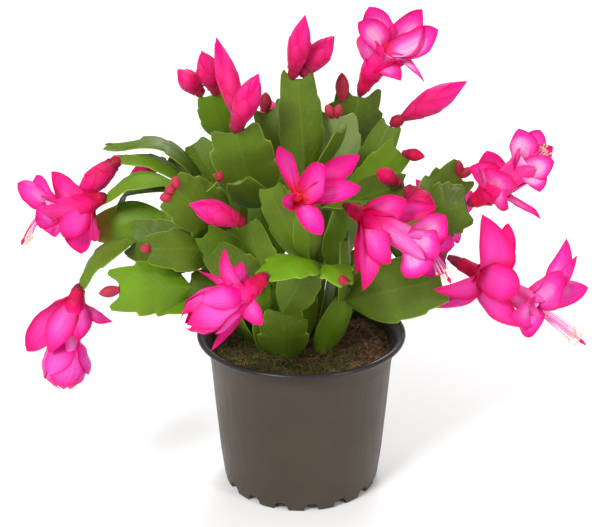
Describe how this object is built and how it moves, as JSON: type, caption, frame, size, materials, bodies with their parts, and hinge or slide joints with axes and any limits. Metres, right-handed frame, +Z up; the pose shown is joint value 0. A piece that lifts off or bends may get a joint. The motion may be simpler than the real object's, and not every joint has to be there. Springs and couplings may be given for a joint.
{
  "type": "potted christmas cactus",
  "caption": "Flowering christmas cactus with arching chains of flat toothed stem segments, pink flowers and buds, in a round dark nursery pot filled with peat.",
  "frame": {"origin": "on the pot's axis, at the height of the surface that the pot rests on", "axes": "+Z up along the pot's axis, -Y towards the front, +X to the right seen from the front"},
  "size_m": [0.3075, 0.2347, 0.2761],
  "materials": {
    "pot_plastic": "satin moulded grey-brown plastic",
    "peat": "rough damp peat with moss and fibres",
    "stem_segment": "waxy green leaf tissue",
    "petal": "thin silky pink petals",
    "bud": "smooth closed pink petals"
  },
  "bodies": {
    "root": {"stem_front": "stem_segment", "stem_front_left": "stem_segment", "stem_left_low": "stem_segment", "stem_left_high": "stem_segment", "stem_top_left": "stem_segment", "stem_top": "stem_segment", "stem_top_right": "stem_segment", "stem_right_back": "stem_segment", "stem_right": "stem_segment", "stem_front_right": "stem_segment", "stem_back_left": "stem_segment", "stem_back": "stem_segment", "stem_back_right": "stem_segment", "bloom_far_left": "petal", "bloom_low_left": "petal", "bloom_low_front": "petal", "bloom_centre": "petal", "bloom_right_middle": "petal", "bloom_right_high": "petal", "bloom_right_low": "petal", "bloom_top": "petal", "bloom_back_left": "petal", "bloom_back": "petal", "bloom_back_right": "petal", "bud_top_left_front": "bud", "bud_top_left_back": "bud", "bud_far_top_left": "bud", "bud_top_left": "bud", "bud_crown": "bud", "bud_crown_right": "bud", "bud_upper_right": "bud", "bud_front_left": "bud", "bud_right": "bud", "bud_left": "bud", "bud_small_right": "bud", "bud_small_upper_right": "bud", "bud_back_left": "bud", "bud_back": "bud", "bud_back_right": "bud", "bud_back_low": "bud", "bud_far_left": "bud", "pot": "pot_plastic", "soil": "peat"}
  },
  "joints": []
}
